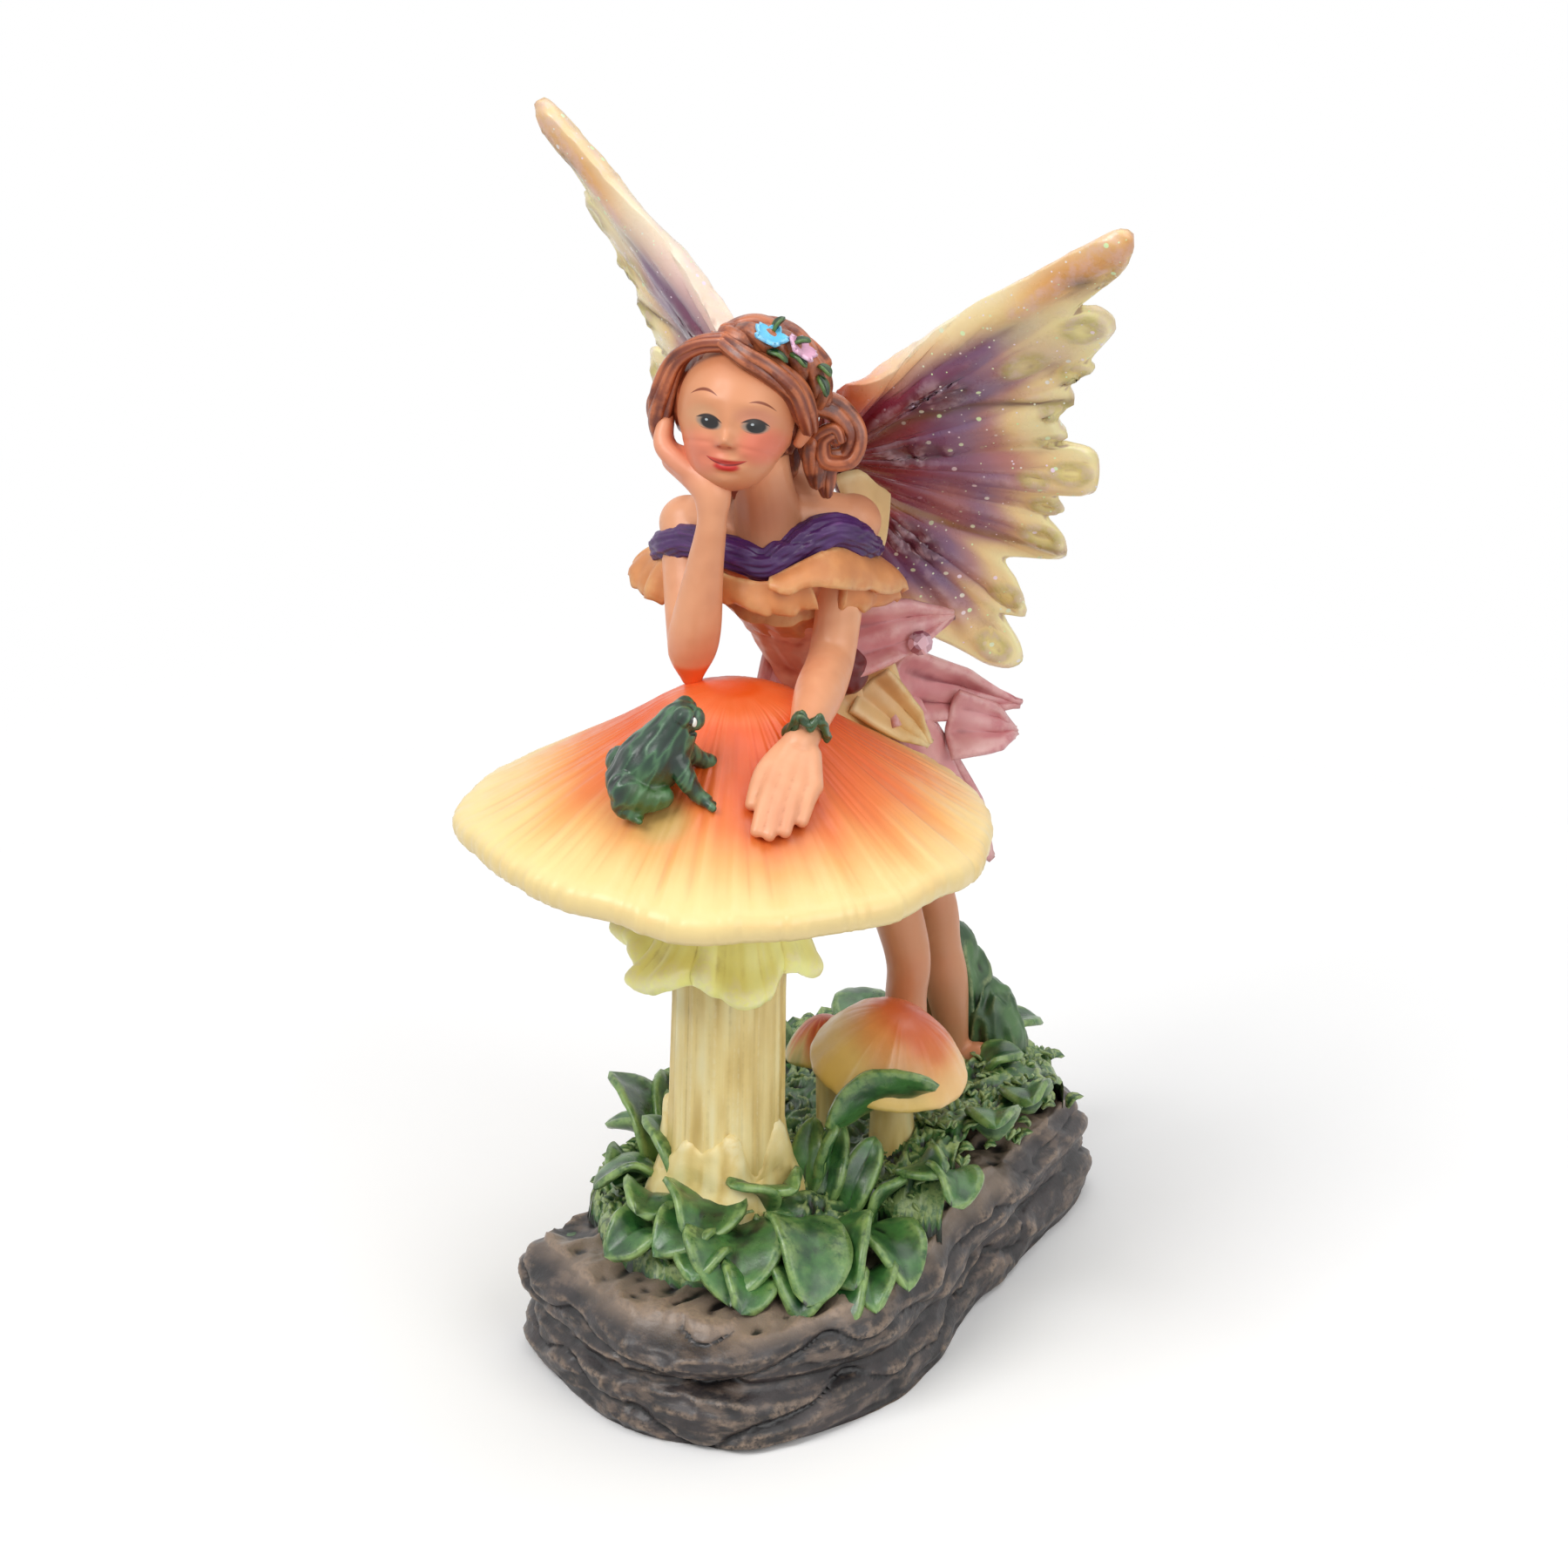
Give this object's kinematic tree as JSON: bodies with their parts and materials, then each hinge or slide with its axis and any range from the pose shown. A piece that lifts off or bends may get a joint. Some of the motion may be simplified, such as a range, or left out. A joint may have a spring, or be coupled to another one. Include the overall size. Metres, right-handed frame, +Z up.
{
  "type": "fairy figurine",
  "caption": "Painted resin fairy leaning on a large toadstool on a mossy rock base, with glued translucent wings and a small stone set in the skirt.",
  "frame": {"origin": "middle of the flat underside of the rock base", "axes": "-Y is the way the fairy leans, towards the big toadstool; +Z is up; +X is the fairy's left"},
  "size_m": [0.0579, 0.0724, 0.103],
  "materials": {
    "painted_resin": "hand-painted cast resin with dark washes and dry-brushed edges, satin",
    "wing_resin": "translucent cast resin, purple to yellow, with glitter",
    "stone_glass": "faceted pink glass, foil-backed"
  },
  "bodies": {
    "root": {"figurine_body": "painted_resin", "wing_left": "wing_resin", "wing_right": "wing_resin", "skirt_stone": "stone_glass"}
  },
  "joints": []
}
